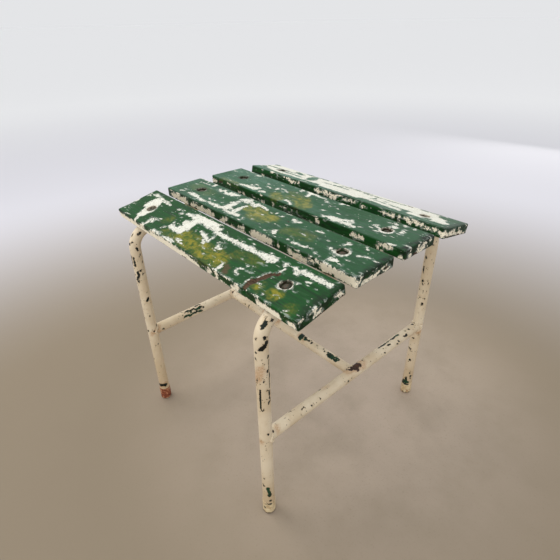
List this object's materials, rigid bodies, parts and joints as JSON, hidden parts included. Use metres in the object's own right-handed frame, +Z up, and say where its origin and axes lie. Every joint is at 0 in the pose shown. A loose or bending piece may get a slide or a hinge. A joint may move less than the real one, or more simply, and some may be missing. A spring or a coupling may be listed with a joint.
{
  "type": "backless bench",
  "caption": "Low backless bench: gently arched seat of wooden slats bolted across two bent steel tube frames, with side stretchers joined by a cross bar.",
  "frame": {"origin": "on the floor under the middle of the seat, at the centre of the bounding box's base", "axes": "+X along the slats to the right of the front, +Y across the slats from front to back, +Z up"},
  "size_m": [0.47, 0.4238, 0.4402],
  "materials": {
    "green_painted_wood": "old green gloss paint over cream primer, chipped along the grain",
    "cream_painted_tube": "aged cream paint, chipped through to dark steel",
    "cream_painted_weld": "aged cream paint over a rough weld bead",
    "rusty_cap_steel": "worn cream paint over rusty pressed steel",
    "dark_bolt_steel": "dull dark steel with rust",
    "dull_zinc_steel": "dull zinc plate"
  },
  "bodies": {
    "root": {"slat_front_outer": "green_painted_wood", "slat_front_inner": "green_painted_wood", "slat_back_inner": "green_painted_wood", "slat_back_outer": "green_painted_wood", "frame_tube_left": "cream_painted_tube", "side_stretcher_left": "cream_painted_tube", "frame_tube_right": "cream_painted_tube", "side_stretcher_right": "cream_painted_tube", "cross_bar": "cream_painted_tube", "weld_left_front": "cream_painted_weld", "weld_left_back": "cream_painted_weld", "weld_cross_bar_left": "cream_painted_weld", "weld_right_front": "cream_painted_weld", "weld_right_back": "cream_painted_weld", "weld_cross_bar_right": "cream_painted_weld", "foot_cap_left_front": "rusty_cap_steel", "foot_cap_left_back": "rusty_cap_steel", "foot_cap_right_front": "rusty_cap_steel", "foot_cap_right_back": "rusty_cap_steel", "bolts_front_outer": "dark_bolt_steel", "washers_front_outer": "dull_zinc_steel", "nuts_front_outer": "dull_zinc_steel", "bolts_front_inner": "dark_bolt_steel", "washers_front_inner": "dull_zinc_steel", "nuts_front_inner": "dull_zinc_steel", "bolts_back_inner": "dark_bolt_steel", "washers_back_inner": "dull_zinc_steel", "nuts_back_inner": "dull_zinc_steel", "bolts_back_outer": "dark_bolt_steel", "washers_back_outer": "dull_zinc_steel", "nuts_back_outer": "dull_zinc_steel"}
  },
  "joints": []
}
